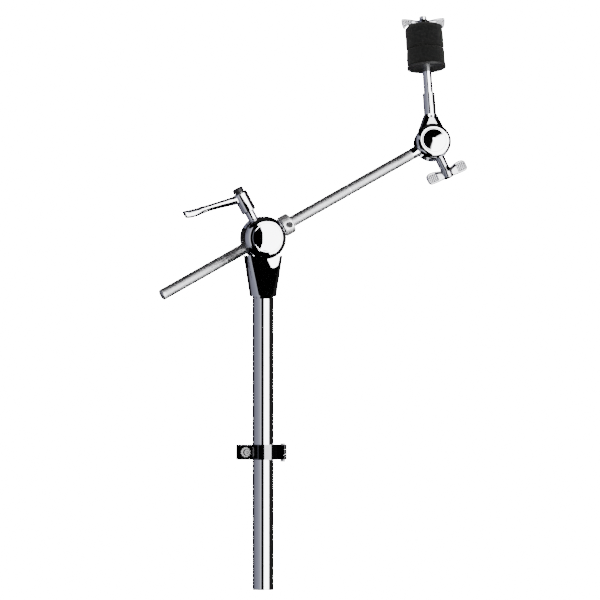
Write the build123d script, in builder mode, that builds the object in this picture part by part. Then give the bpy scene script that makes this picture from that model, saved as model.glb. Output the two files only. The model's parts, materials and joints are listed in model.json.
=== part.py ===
"""Boom-arm section of a cymbal stand: a tube with a tilter, a knurled rod and a cymbal post.

The origin is the centre of the lower tube's bottom end, +Z is up the tube, +X is towards
the high end of the boom and -Y is the side that carries the key screws. Millimetres.
"""

from build123d import *
from math import cos, radians, sin
import os

os.makedirs("parts", exist_ok=True)

# ---- driving dimensions ------------------------------------------------------------
RUN_GAP = 0.05              # radial clearance of a running fit
TOUCH_GAP = 0.3             # room between curved faces that don't run on each other

TUBE_R = 11.1               # 7/8 inch tube
TUBE_WALL = 1.5
TUBE_TOP = 338.0            # the tube ends inside the casting's socket
PIN_Z = 322.0               # roll pin that holds the tube in the socket
PIN_R = 1.5
PIN_BORE_R = 0.8
PIN_LONG = 3.6
MARK_Z = 136.0              # shallow turned depth mark just under the memory lock
MARK_WIDTH = 0.8
MARK_DEPTH = 0.3

BOOM_ANGLE = 28.6           # the rod's slope at rest
TILT_Z = 370.3              # height of the lower pivot
HEAD_R = 22.8               # lower tilter head
HEAD_HALF = 16.0            # half thickness at the cheeks' outer faces
HEAD_ROUND = 8.0
SLOT_HALF = 6.5             # half width of the gap that the rod swings in
SLOT_FLOOR = 3.2            # from the drum down to the slot's ridge
SLOT_REACH = 30.0           # the slot's outline runs past the head on both sides
SLOT_DROP = 28.6            # how far the ridge's two flanks fall by there
SLOT_RIDGE = 6.0
PIVOT_R = 14.25             # bore in the cheeks for the pivot drum
DRUM_R = PIVOT_R - RUN_GAP
DRUM_HALF = 9.3
DISC = 0.6                  # thickness of a friction disc
NECK_BOTTOM = 308.8
NECK_R = 13.95
NECK_TOP_WIDTH = 40.0
NECK_TOP_DEPTH = 21.0
NECK_TOP_CORNER = 6.0
NECK_TOP_Z = 352.0
CAP_R = 15.9
LIP = 0.6                   # thickness of a cap's lip
DOME_R = 14.2
CAP_DOME = 2.4              # how far a cap's dome stands out of its lip

ROD_R = 6.0
ROD_LOW = -126.5            # the rod's free end, from the lower pivot
ROD_HIGH = 200.0            # the rod's shoulder at the upper drum
ROD_TANG_R = 4.0
ROD_TANG = 9.0
BOOM_LENGTH = 212.0         # pivot to pivot
GROOVE_PLACES = (-49.5, 28.5, 106.5, 184.5)
GROOVE_WIDTH = 2.0
GROOVE_DEPTH = 0.35
BUSH_R = 7.0
COLLAR_R = 11.0
COLLAR_LOW = 23.7
COLLAR_HIGH = 34.5
KEY_R = 3.2                 # head of the collar's key screw

STUD_R = 5.15               # clamp stud's visible collar
STUD_SCREW_R = 4.0
HUB_LOW = 31.7
HUB_HIGH = 53.8
HUB_R = 7.9
SPIGOT_R = 4.5
SPRING_FLOOR = 46.0
SPRING_POCKET_R = 6.2
LEVER_CAP_R = 5.85
LEVER_CAP_LOW = 54.9
LEVER_CAP_HIGH = 59.3
LEVER_SLOPE = 13.0          # the arm's slope against the rod
LEVER_REACH = 64.0
LEVER_ROOT = 48.6           # height of the arm's centre line at the hub
LEVER_HALF = 5.2            # half width of the arm

TWIST = 15.0                # how far the upper joint leans about the rod
POST_ANGLE = 62.6           # between the rod and the post
TOP_HEAD_R = 19.0
TOP_HEAD_HALF = 12.2
TOP_HEAD_ROUND = 5.0
TOP_PIVOT_R = 12.05
TOP_DRUM_R = TOP_PIVOT_R - RUN_GAP
TOP_DRUM_HALF = 8.2
TOP_CAP_R = 13.2
TOP_DOME_R = 12.2
TOP_CAP_DOME = 1.4
TOP_NECK_R = 7.15
TOP_NECK_END = 30.0
PLUG_LOW = 5.0              # the clamp plug in the upper drum, from the joint
PLUG_LONG = 2.4
WING_LEAN = 6.0
WING_HUB_HIGH = 42.0
WING_HUB_R = 5.3
WING_SPAN = 46.0
WING_TALL = 13.0
WING_THICK = 3.2

POST_LOW_R = 6.55
POST_STEP = 53.6
POST_MID_R = 4.9
SEAT_AT = 81.1
SEAT_R = 20.7
SEAT_THICK = 2.5
THREAD_R = 4.0
POST_TIP = 138.4
SLEEVE_R = 5.5
FELT_R = 20.0
FELT_HOLE_R = 6.0
FELT_ROUND = 1.2
FELT_SPLIT = 102.1
FELT_TOP = 128.6
FELT_SHOULDER = 5.5         # the upper felt's rounded top edge
NUT_LOW = 128.7
NUT_HIGH = 134.3
NUT_R = 6.3
NUT_HALF_SPAN = 23.4
NUT_TIP = 136.4             # top of the wings' outer ends
NUT_TAIL = 124.6            # bottom of the wings' outer ends, outside the felt
NUT_THICK = 3.2

LOCK_LOW = 137.2
LOCK_HIGH = 153.1
LOCK_R = 15.7
EAR_END = -27.5
EAR_HALF = 7.0
EAR_GAP = 4.0
LOCK_BOLT_X = -21.0
LOCK_BOLT_R = 2.5
BOLT_PAST = 4.5             # thread past the rear ear
GATE_BOLT_GAP = 1.3         # room for the bolt as the front half swings open
HINGE_X = 21.5
HINGE_R = 1.6
KNUCKLE_R = 4.3

# ---- frames ------------------------------------------------------------------------
slope = radians(BOOM_ANGLE)
along = Vector(cos(slope), 0, sin(slope))
across = Vector(-sin(slope), 0, cos(slope))
low_pivot = Vector(0, 0, TILT_Z)
high_pivot = low_pivot + along * BOOM_LENGTH
twist = radians(TWIST)
back = Vector(0, 1, 0)
lean_up = across * cos(twist) + back * sin(twist)
lean_back = back * cos(twist) - across * sin(twist)
post_turn = radians(POST_ANGLE)
post_dir = along * cos(post_turn) + lean_up * sin(post_turn)
post_side = along * sin(post_turn) - lean_up * cos(post_turn)
wing_turn = radians(WING_LEAN)
wing_dir = lean_up * -cos(wing_turn) - along * sin(wing_turn)
wing_side = along * cos(wing_turn) - lean_up * sin(wing_turn)

low_face = Plane(origin=low_pivot, x_dir=(1, 0, 0), z_dir=(0, -1, 0))
boom_face = Plane(origin=low_pivot, x_dir=along, z_dir=(0, -1, 0))
rod_axis = Plane(origin=low_pivot, x_dir=(0, 1, 0), z_dir=along)
stud_axis = Plane(origin=low_pivot, x_dir=along * -1, z_dir=across)
lever_face = Plane(origin=low_pivot, x_dir=along * -1, z_dir=(0, 1, 0))
high_face = Plane(origin=high_pivot, x_dir=post_side, z_dir=lean_back * -1)
post_axis = Plane(origin=high_pivot, x_dir=post_side, z_dir=post_dir)
wing_axis = Plane(origin=high_pivot, x_dir=wing_side, z_dir=wing_dir)
wing_face = Plane(origin=high_pivot, x_dir=wing_side, z_dir=lean_back)
tang_axis = Plane(origin=high_pivot, x_dir=along, z_dir=lean_back)
pin_face = Plane(origin=(0, 0, PIN_Z), x_dir=(1, 0, 0), z_dir=(0, 1, 0))


def finish(builder, name):
    """Label a finished piece and write it as its own file."""
    builder.part.label = name
    export_step(builder.part, f"parts/{name}.step")


# ---- lower tube and its pin --------------------------------------------------------
with BuildPart() as lower_tube:
    with BuildSketch():
        Circle(TUBE_R)
        Circle(TUBE_R - TUBE_WALL, mode=Mode.SUBTRACT)
    extrude(amount=TUBE_TOP)
    chamfer(lower_tube.edges().group_by(Axis.Z)[0], length=0.5)
    with BuildSketch(Plane.XY.offset(MARK_Z)):
        Circle(TUBE_R + 1)
        Circle(TUBE_R - MARK_DEPTH, mode=Mode.SUBTRACT)
    extrude(amount=MARK_WIDTH, mode=Mode.SUBTRACT)
    with BuildSketch(pin_face):
        Circle(PIN_R)
    extrude(amount=TUBE_R + 1, mode=Mode.SUBTRACT)
finish(lower_tube, "lower_tube")

with BuildPart() as tube_pin:
    with BuildSketch(pin_face.offset(TUBE_R - TUBE_WALL)):
        Circle(PIN_R)
        Circle(PIN_BORE_R, mode=Mode.SUBTRACT)
    extrude(amount=PIN_LONG)
finish(tube_pin, "tube_pin")

# ---- lower casting: a round fork head on a neck that holds the tube -----------------
slot_floor = -DRUM_R - SLOT_FLOOR
slot_edge = slot_floor - SLOT_DROP
slot_top = HEAD_R + 17.2
with BuildPart() as tilter_casting:
    with BuildSketch(low_face):
        Circle(HEAD_R)
    extrude(amount=HEAD_HALF, both=True)
    fillet(tilter_casting.edges().filter_by(GeomType.CIRCLE), radius=HEAD_ROUND)
    with BuildSketch(Plane.XY.offset(NECK_BOTTOM)):
        RectangleRounded(2 * NECK_R, 2 * NECK_R, NECK_R - 0.1)
    with BuildSketch(Plane.XY.offset(NECK_TOP_Z)):
        RectangleRounded(NECK_TOP_WIDTH, NECK_TOP_DEPTH, NECK_TOP_CORNER)
    loft(ruled=True)
    with BuildSketch(low_face):
        with BuildLine():
            Polyline(
                (-SLOT_REACH, slot_top),
                (-SLOT_REACH, slot_edge),
                (-SLOT_RIDGE, slot_floor),
                (SLOT_RIDGE, slot_floor),
                (SLOT_REACH, slot_edge),
                (SLOT_REACH, slot_top),
                close=True,
            )
        make_face()
    extrude(amount=SLOT_HALF, both=True, mode=Mode.SUBTRACT)
    with BuildSketch(low_face):
        Circle(PIVOT_R)
    extrude(amount=HEAD_HALF + 1, both=True, mode=Mode.SUBTRACT)
    with BuildSketch(Plane.XY.offset(NECK_BOTTOM - 1)):
        Circle(TUBE_R)
    extrude(amount=TUBE_TOP - NECK_BOTTOM + 1, mode=Mode.SUBTRACT)
    with BuildSketch(pin_face.offset(TUBE_R - 1)):
        Circle(PIN_R)
    extrude(amount=8, mode=Mode.SUBTRACT)
finish(tilter_casting, "tilter_casting")

def cap_piece(name, plane, inner_end, cheek, bore_r, lip_r, dome_r, dome_tall):
    """A cap that closes a pivot bore: a plug, a thin lip on the cheek and a spherical dome."""
    lip_top = cheek + LIP
    ball_r = (dome_r**2 + dome_tall**2) / (2 * dome_tall)
    ball_centre = plane.offset(lip_top + dome_tall - ball_r)
    with BuildPart() as cap:
        with BuildSketch(plane.offset(lip_top - 0.2)):
            Circle(dome_r)
        extrude(amount=dome_tall + 1)
        with BuildPart(ball_centre, mode=Mode.INTERSECT):
            Sphere(ball_r)
        with BuildSketch(plane.offset(inner_end)):
            Circle(bore_r)
        extrude(amount=cheek - inner_end)
        with BuildSketch(plane.offset(cheek)):
            Circle(lip_r)
        extrude(amount=LIP)
    finish(cap, name)


for name, side in (("front_cap", -1), ("rear_cap", 1)):
    cap_face = Plane(origin=low_pivot, x_dir=(1, 0, 0), z_dir=(0, side, 0))
    cap_piece(name, cap_face, DRUM_HALF + 0.1 + DISC, HEAD_HALF, PIVOT_R, CAP_R, DOME_R, CAP_DOME)

for name, side in (("front_clutch_disc", -1), ("rear_clutch_disc", 1)):
    disc_face = Plane(origin=low_pivot, x_dir=(1, 0, 0), z_dir=(0, side, 0))
    with BuildPart() as disc:
        with BuildSketch(disc_face.offset(DRUM_HALF + 0.1)):
            Circle(DRUM_R - TOUCH_GAP)
            Circle(5, mode=Mode.SUBTRACT)
        extrude(amount=DISC)
    finish(disc, name)

# ---- pivot drum: the rod's bush runs through it, the clamp stud screws into it ------
with BuildPart() as pivot_drum:
    with BuildSketch(low_face):
        Circle(DRUM_R)
    extrude(amount=DRUM_HALF, both=True)
    with BuildSketch(rod_axis):
        Circle(BUSH_R + RUN_GAP)
    extrude(amount=DRUM_R + 1, both=True, mode=Mode.SUBTRACT)
    with BuildSketch(stud_axis.offset(BUSH_R - 1.5)):
        Circle(STUD_SCREW_R + RUN_GAP)
    extrude(amount=DRUM_R, mode=Mode.SUBTRACT)
finish(pivot_drum, "pivot_drum")

with BuildPart() as pressure_shoe:
    with BuildSketch(stud_axis.offset(BUSH_R - 1.5)):
        Circle(STUD_SCREW_R)
    extrude(amount=4)
    with BuildSketch(rod_axis):
        Circle(BUSH_R + RUN_GAP)
    extrude(amount=DRUM_R, both=True, mode=Mode.SUBTRACT)
finish(pressure_shoe, "pressure_shoe")

with BuildPart() as rod_bush:
    with BuildSketch(rod_axis):
        Circle(BUSH_R)
        Circle(ROD_R + RUN_GAP, mode=Mode.SUBTRACT)
        with Locations((0, -BUSH_R)):
            Rectangle(1.2, 4, mode=Mode.SUBTRACT)
    extrude(amount=DRUM_R - 2.5, both=True)
finish(rod_bush, "rod_bush")

# ---- clamp stud, handle, spring and cap screw ---------------------------------------
STUD_LOW = BUSH_R + 2.6
with BuildPart() as clamp_stud:
    with BuildSketch(stud_axis.offset(STUD_LOW)):
        Circle(STUD_SCREW_R)
    extrude(amount=17 - STUD_LOW)
    with BuildSketch(stud_axis.offset(16.5)):
        Circle(STUD_R)
    extrude(amount=HUB_LOW - 16.5)
    with BuildSketch(stud_axis.offset(HUB_LOW)):
        Circle(SPIGOT_R)
        with PolarLocations(SPIGOT_R, 16):
            Circle(0.45, mode=Mode.SUBTRACT)
    extrude(amount=SPRING_FLOOR - HUB_LOW - 0.3)
    with BuildSketch(stud_axis.offset(SPRING_FLOOR - 8.3)):
        Circle(2.5)
    extrude(amount=9, mode=Mode.SUBTRACT)
finish(clamp_stud, "clamp_stud")

with BuildPart() as lever_cap_screw:
    with BuildSketch(stud_axis.offset(SPRING_FLOOR - 7.8)):
        Circle(2.5)
    extrude(amount=LEVER_CAP_LOW - SPRING_FLOOR + 7.8)
    with BuildSketch(stud_axis.offset(LEVER_CAP_LOW)):
        Circle(LEVER_CAP_R)
    extrude(amount=LEVER_CAP_HIGH - LEVER_CAP_LOW)
    fillet(lever_cap_screw.edges().sort_by(Axis(low_pivot, across))[-1], radius=1.2)
    with BuildSketch(stud_axis.offset(LEVER_CAP_HIGH)):
        RegularPolygon(2.3, 6)
    extrude(amount=-2.6, mode=Mode.SUBTRACT)
finish(lever_cap_screw, "lever_cap_screw")

with BuildPart() as lever_spring:
    with BuildSketch(stud_axis.offset(SPRING_FLOOR + 0.1)):
        Circle(5.6)
        Circle(3.6, mode=Mode.SUBTRACT)
    extrude(amount=LEVER_CAP_LOW - SPRING_FLOOR - 0.2)
finish(lever_spring, "lever_spring")

lever_rise = radians(LEVER_SLOPE)


def lever_point(reach, offset):
    """A point beside the lever arm's centre line, in the lever's side view."""
    centre_z = LEVER_ROOT + (reach - 6) * sin(lever_rise) / cos(lever_rise)
    return (reach, centre_z + offset)


with BuildPart() as lever_handle:
    with BuildSketch(stud_axis.offset(HUB_LOW)):
        Circle(HUB_R)
    extrude(amount=HUB_HIGH - HUB_LOW)
    chamfer(lever_handle.edges().filter_by(GeomType.CIRCLE), length=0.7)
    with BuildSketch(lever_face):
        with BuildLine():
            Polyline(
                lever_point(4, 4.0),
                lever_point(30, 3.6),
                lever_point(44, 4.2),
                lever_point(61, 4.2),
                lever_point(LEVER_REACH, 1.0),
                lever_point(LEVER_REACH, -1.0),
                lever_point(56, -5.2),
                lever_point(44, -4.2),
                lever_point(30, -3.6),
                lever_point(4, -5.0),
                close=True,
            )
        make_face()
    extrude(amount=LEVER_HALF, both=True)
    with BuildSketch(stud_axis.offset(HUB_LOW - 1)):
        Circle(SPIGOT_R + RUN_GAP)
    extrude(amount=SPRING_FLOOR - HUB_LOW + 1, mode=Mode.SUBTRACT)
    with BuildSketch(stud_axis.offset(SPRING_FLOOR)):
        Circle(SPRING_POCKET_R)
    extrude(amount=HUB_HIGH - SPRING_FLOOR + 6, mode=Mode.SUBTRACT)
finish(lever_handle, "lever_handle")

# ---- stop collar and its key screw ---------------------------------------------------
with BuildPart() as stop_collar:
    with BuildSketch(rod_axis.offset(COLLAR_LOW)):
        Circle(COLLAR_R)
    extrude(amount=COLLAR_HIGH - COLLAR_LOW)
    chamfer(stop_collar.edges().filter_by(GeomType.CIRCLE), length=0.9)
    with BuildSketch(rod_axis.offset(COLLAR_LOW - 1)):
        Circle(ROD_R)
    extrude(amount=COLLAR_HIGH - COLLAR_LOW + 2, mode=Mode.SUBTRACT)
    with BuildSketch(boom_face):
        with Locations((0.5 * (COLLAR_LOW + COLLAR_HIGH), 0)):
            Circle(2.0)
    extrude(amount=COLLAR_R + 2, mode=Mode.SUBTRACT)
finish(stop_collar, "stop_collar")

with BuildPart() as collar_screw:
    with BuildSketch(boom_face.offset(ROD_R + 0.2)):
        with Locations((0.5 * (COLLAR_LOW + COLLAR_HIGH), 0)):
            Circle(2.0)
    extrude(amount=COLLAR_R + 0.4 - ROD_R)
    with BuildSketch(boom_face.offset(COLLAR_R + 0.1)):
        with Locations((0.5 * (COLLAR_LOW + COLLAR_HIGH), 0)):
            Circle(KEY_R)
    extrude(amount=3.2)
    with BuildSketch(boom_face.offset(COLLAR_R + 3.3)):
        with Locations((0.5 * (COLLAR_LOW + COLLAR_HIGH), 0)):
            Rectangle(5.0, 1.0)
    extrude(amount=-1.2, mode=Mode.SUBTRACT)
finish(collar_screw, "collar_screw")

# ---- boom rod ------------------------------------------------------------------------
with BuildPart() as boom_rod:
    with BuildSketch(rod_axis.offset(ROD_LOW)):
        Circle(ROD_R)
    extrude(amount=ROD_HIGH - ROD_LOW)
    fillet(boom_rod.edges().group_by(Axis(low_pivot, along))[0], radius=2.2)
    with BuildSketch(rod_axis.offset(ROD_HIGH)):
        Circle(ROD_TANG_R)
    extrude(amount=ROD_TANG)
    for place in GROOVE_PLACES:
        with BuildSketch(rod_axis.offset(place)):
            Circle(ROD_R + 1)
            Circle(ROD_R - GROOVE_DEPTH, mode=Mode.SUBTRACT)
        extrude(amount=GROOVE_WIDTH, mode=Mode.SUBTRACT)
    with BuildSketch(tang_axis):
        with Locations((ROD_HIGH + 4.5 - BOOM_LENGTH, 0)):
            Circle(1.25)
    extrude(amount=ROD_R, both=True, mode=Mode.SUBTRACT)
finish(boom_rod, "boom_rod")

# ---- upper drum, fixed to the rod's end by a cross pin ---------------------------------
with BuildPart() as upper_drum:
    with BuildSketch(high_face):
        Circle(TOP_DRUM_R)
    extrude(amount=TOP_DRUM_HALF, both=True)
    with BuildSketch(rod_axis.offset(BOOM_LENGTH - TOP_DRUM_R - 1)):
        Circle(ROD_R + 0.1)
    extrude(amount=1 + TOP_DRUM_R - BOOM_LENGTH + ROD_HIGH + 0.05, mode=Mode.SUBTRACT)
    with BuildSketch(rod_axis.offset(BOOM_LENGTH - TOP_DRUM_R - 1)):
        Circle(ROD_TANG_R)
    extrude(amount=TOP_DRUM_R + 1 - BOOM_LENGTH + ROD_HIGH + ROD_TANG, mode=Mode.SUBTRACT)
    with BuildSketch(wing_axis.offset(PLUG_LOW - 0.2)):
        Circle(STUD_SCREW_R + RUN_GAP)
    extrude(amount=TOP_DRUM_R, mode=Mode.SUBTRACT)
    with BuildSketch(tang_axis):
        with Locations((ROD_HIGH + 4.5 - BOOM_LENGTH, 0)):
            Circle(1.25)
    extrude(amount=TOP_DRUM_HALF, both=True, mode=Mode.SUBTRACT)
finish(upper_drum, "upper_drum")

with BuildPart() as drum_pin:
    with BuildSketch(tang_axis):
        with Locations((ROD_HIGH + 4.5 - BOOM_LENGTH, 0)):
            Circle(1.25)
    extrude(amount=TOP_DRUM_HALF - 0.2, both=True)
finish(drum_pin, "drum_pin")

with BuildPart() as clamp_plug:
    with BuildSketch(wing_axis.offset(PLUG_LOW)):
        Circle(STUD_SCREW_R)
    extrude(amount=PLUG_LONG)
finish(clamp_plug, "clamp_plug")

# ---- upper casting: a round fork head on a neck that holds the cymbal post ------------
with BuildPart() as upper_casting:
    with BuildSketch(high_face):
        Circle(TOP_HEAD_R)
    extrude(amount=TOP_HEAD_HALF, both=True)
    fillet(upper_casting.edges().filter_by(GeomType.CIRCLE), radius=TOP_HEAD_ROUND)
    with BuildSketch(post_axis.offset(8)):
        RectangleRounded(33, 17.6, 6.5)
    with BuildSketch(post_axis.offset(TOP_NECK_END)):
        RectangleRounded(2 * TOP_NECK_R, 2 * TOP_NECK_R, TOP_NECK_R - 0.1)
    loft(ruled=True)
    with BuildSketch(post_axis.offset(TOP_DRUM_R + 1.8)):
        Rectangle(60, 2 * SLOT_HALF)
    extrude(amount=-60, mode=Mode.SUBTRACT)
    with BuildSketch(high_face):
        Circle(TOP_PIVOT_R)
    extrude(amount=TOP_HEAD_HALF + 1, both=True, mode=Mode.SUBTRACT)
    with BuildSketch(post_axis.offset(TOP_NECK_END - 12)):
        Circle(4.5)
    extrude(amount=14, mode=Mode.SUBTRACT)
    with BuildSketch(high_face.offset(5.4)):
        with Locations((0, TOP_NECK_END - 1.7)):
            Rectangle(6.2, 3.8)
    extrude(amount=4, mode=Mode.SUBTRACT)
    with BuildSketch(high_face):
        with Locations((0, TOP_NECK_END - 2.6)):
            Circle(1.5)
    extrude(amount=8, mode=Mode.SUBTRACT)
finish(upper_casting, "upper_casting")

for name, side in (("upper_front_cap", -1), ("upper_rear_cap", 1)):
    cap_face = Plane(origin=high_pivot, x_dir=post_side, z_dir=lean_back * side)
    plug_end = TOP_DRUM_HALF + 0.1 + DISC
    cap_piece(name, cap_face, plug_end, TOP_HEAD_HALF, TOP_PIVOT_R, TOP_CAP_R, TOP_DOME_R, TOP_CAP_DOME)

for name, side in (("upper_front_disc", -1), ("upper_rear_disc", 1)):
    disc_face = Plane(origin=high_pivot, x_dir=post_side, z_dir=lean_back * side)
    with BuildPart() as disc:
        with BuildSketch(disc_face.offset(TOP_DRUM_HALF + 0.1)):
            Circle(TOP_DRUM_R - TOUCH_GAP)
            Circle(4, mode=Mode.SUBTRACT)
        extrude(amount=DISC)
    finish(disc, name)

with BuildPart() as post_grub_screw:
    with BuildSketch(high_face.offset(4.0)):
        with Locations((0, TOP_NECK_END - 2.6)):
            Circle(1.5)
    extrude(amount=2.4)
finish(post_grub_screw, "post_grub_screw")

# ---- wing screw that clamps the upper joint --------------------------------------------
half_span = 0.5 * WING_SPAN
wing_root = WING_HUB_HIGH - WING_TALL
with BuildPart() as wing_screw:
    with BuildSketch(wing_axis.offset(PLUG_LOW + PLUG_LONG + 0.1)):
        Circle(STUD_SCREW_R)
    extrude(amount=TOP_DRUM_R - 1)
    with BuildSketch(wing_axis.offset(TOP_DRUM_R + 3)):
        Circle(WING_HUB_R)
    extrude(amount=WING_HUB_HIGH - TOP_DRUM_R - 3)
    for side in (-1, 1):
        with BuildSketch(wing_face):
            with BuildLine():
                Polyline(
                    (side * 2, WING_HUB_HIGH - 10),
                    (side * 9, wing_root + 2),
                    (side * 15, wing_root),
                    (side * (half_span - 1), wing_root + 1.5),
                    (side * half_span, WING_HUB_HIGH - 3),
                    (side * (half_span - 3), WING_HUB_HIGH),
                    (side * 2, WING_HUB_HIGH),
                    close=True,
                )
            make_face()
        extrude(amount=0.5 * WING_THICK, both=True)
finish(wing_screw, "wing_screw")

# ---- cymbal post, seat, felts and wing nut ----------------------------------------------
with BuildPart() as cymbal_post:
    with BuildSketch(post_axis.offset(TOP_NECK_END - 12)):
        Circle(4.5)
    extrude(amount=12)
    with BuildSketch(post_axis.offset(TOP_NECK_END)):
        Circle(POST_LOW_R)
    extrude(amount=POST_STEP - TOP_NECK_END)
    with BuildSketch(post_axis.offset(POST_STEP)):
        Circle(POST_MID_R)
    extrude(amount=SEAT_AT - POST_STEP)
    with BuildSketch(post_axis.offset(SEAT_AT)):
        Circle(THREAD_R)
    extrude(amount=POST_TIP - SEAT_AT)
    with BuildSketch(high_face):
        with Locations((0, TOP_NECK_END - 2.6)):
            Circle(1.5)
    extrude(amount=8, mode=Mode.SUBTRACT)
    chamfer(cymbal_post.edges().sort_by(Axis(high_pivot, post_dir))[-1], length=0.7)
finish(cymbal_post, "cymbal_post")

with BuildPart() as seat_cup:
    with BuildSketch(post_axis.offset(SEAT_AT)):
        Circle(SEAT_R)
        Circle(THREAD_R + RUN_GAP, mode=Mode.SUBTRACT)
    extrude(amount=SEAT_THICK)
    chamfer(seat_cup.edges().sort_by(Axis(high_pivot, post_dir)).filter_by(GeomType.CIRCLE)[0:1], length=0.2)
    with BuildSketch(post_axis.offset(SEAT_AT + SEAT_THICK)):
        Circle(SLEEVE_R)
        Circle(THREAD_R + RUN_GAP, mode=Mode.SUBTRACT)
    extrude(amount=FELT_TOP - SEAT_AT - SEAT_THICK - 6)
finish(seat_cup, "seat_cup")

felt_stack = (
    ("lower_felt", SEAT_AT + SEAT_THICK, FELT_SPLIT - TOUCH_GAP, FELT_ROUND),
    ("upper_felt", FELT_SPLIT, FELT_TOP, FELT_SHOULDER),
)
for name, low, high, top_round in felt_stack:
    with BuildPart() as felt:
        with BuildSketch(post_axis.offset(low)):
            Circle(FELT_R)
            Circle(FELT_HOLE_R, mode=Mode.SUBTRACT)
        extrude(amount=high - low)
        rims = felt.edges().filter_by(GeomType.CIRCLE).sort_by(SortBy.RADIUS)[-2:]
        bottom_rim, top_rim = rims.sort_by(Axis(high_pivot, post_dir))
        fillet(bottom_rim, radius=FELT_ROUND)
        fillet(top_rim, radius=top_round)
    finish(felt, name)

with BuildPart() as wing_nut:
    with BuildSketch(post_axis.offset(NUT_LOW)):
        Circle(NUT_R)
    extrude(amount=NUT_HIGH - NUT_LOW)
    for side in (-1, 1):
        with BuildSketch(high_face):
            with BuildLine():
                Polyline(
                    (side * 2, NUT_LOW + 0.6),
                    (side * 14.5, NUT_LOW + 0.6),
                    (side * 18.6, NUT_LOW - 0.9),
                    (side * 20.5, NUT_TAIL),
                    (side * 21.5, NUT_TAIL),
                    (side * NUT_HALF_SPAN, NUT_TIP - 2.4),
                    (side * (NUT_HALF_SPAN - 0.8), NUT_TIP),
                    (side * 18, NUT_TIP - 0.3),
                    (side * 8, NUT_HIGH + 0.2),
                    (side * 2, NUT_HIGH - 0.4),
                    close=True,
                )
            make_face()
        extrude(amount=0.5 * NUT_THICK, both=True)
    with BuildSketch(post_axis.offset(NUT_LOW - 1)):
        Circle(THREAD_R + RUN_GAP)
    extrude(amount=NUT_TIP - NUT_LOW + 2, mode=Mode.SUBTRACT)
finish(wing_nut, "wing_nut")

# ---- memory lock: two hinged halves round the tube --------------------------------------
lock_tall = LOCK_HIGH - LOCK_LOW
third = lock_tall / 3
for name, side in (("lock_rear", 1), ("lock_front", -1)):
    with BuildPart() as half:
        with BuildSketch(Plane.XY.offset(LOCK_LOW)):
            Circle(LOCK_R)
            with Locations((0.5 * (EAR_END - TUBE_R), side * 0.25 * (2 * EAR_HALF))):
                Rectangle(-EAR_END - TUBE_R, EAR_HALF)
            with Locations((0.5 * (TUBE_R + HINGE_X), side * 0.5 * KNUCKLE_R)):
                Rectangle(HINGE_X - TUBE_R, KNUCKLE_R)
            Circle(TUBE_R + RUN_GAP, mode=Mode.SUBTRACT)
            with Locations((0, -side * 20)):
                Rectangle(80, 40 + 0.6, mode=Mode.SUBTRACT)
            with Locations((0.5 * (EAR_END - LOCK_R), 0)):
                Rectangle(-EAR_END - LOCK_R + 12, EAR_GAP, mode=Mode.SUBTRACT)
        extrude(amount=lock_tall)
        with BuildSketch(Plane.XY.offset(LOCK_LOW)):
            with Locations((HINGE_X, 0)):
                Circle(KNUCKLE_R)
        extrude(amount=lock_tall)
        for low_third, high_third in (((0, 1), (2, 3)) if side == 1 else ((1, 2),)):
            with BuildSketch(Plane.XY.offset(LOCK_LOW + low_third * third - 0.1)):
                with Locations((HINGE_X, 0)):
                    Circle(KNUCKLE_R + TOUCH_GAP)
            extrude(amount=(high_third - low_third) * third + 0.2, mode=Mode.SUBTRACT)
        with BuildSketch(Plane.XY.offset(LOCK_LOW - 1)):
            with Locations((HINGE_X, 0)):
                Circle(HINGE_R + (RUN_GAP if side == -1 else 0))
        extrude(amount=lock_tall + 2, mode=Mode.SUBTRACT)
        bolt_face = Plane(
            origin=(LOCK_BOLT_X, 0, 0.5 * (LOCK_LOW + LOCK_HIGH)), x_dir=(1, 0, 0), z_dir=(0, 1, 0)
        )
        with BuildSketch(bolt_face):
            Circle(LOCK_BOLT_R + (RUN_GAP if side == 1 else GATE_BOLT_GAP))
        extrude(amount=side * (EAR_HALF + 2), mode=Mode.SUBTRACT)
    finish(half, name)

with BuildPart() as lock_hinge_pin:
    with BuildSketch(Plane.XY.offset(LOCK_LOW)):
        with Locations((HINGE_X, 0)):
            Circle(HINGE_R)
    extrude(amount=lock_tall)
    for low, height in ((LOCK_LOW - 2.5, 2.4), (LOCK_HIGH + 0.1, 1.2)):
        with BuildSketch(Plane.XY.offset(low)):
            with Locations((HINGE_X, 0)):
                Circle(2.5)
        extrude(amount=height)
    with BuildSketch(Plane.XY.offset(LOCK_LOW - 0.2)):
        with Locations((HINGE_X, 0)):
            Circle(HINGE_R)
    extrude(amount=lock_tall + 0.4)
finish(lock_hinge_pin, "lock_hinge_pin")

lock_bolt_face = Plane(
    origin=(LOCK_BOLT_X, 0, 0.5 * (LOCK_LOW + LOCK_HIGH)), x_dir=(1, 0, 0), z_dir=(0, -1, 0)
)
with BuildPart() as lock_bolt:
    with BuildSketch(lock_bolt_face.offset(-EAR_HALF - BOLT_PAST)):
        Circle(LOCK_BOLT_R)
    extrude(amount=2 * EAR_HALF + BOLT_PAST)
    with BuildSketch(lock_bolt_face.offset(EAR_HALF)):
        Circle(5.5)
    extrude(amount=2.4)
    with BuildSketch(lock_bolt_face.offset(EAR_HALF + 2.4)):
        Circle(3.5)
    extrude(amount=3.4)
finish(lock_bolt, "lock_bolt")
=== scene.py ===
# Boom-arm top of a cymbal stand: chrome tube, tilter with clamp lever, knurled rod, felts and wing nut
import json
import math

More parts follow.
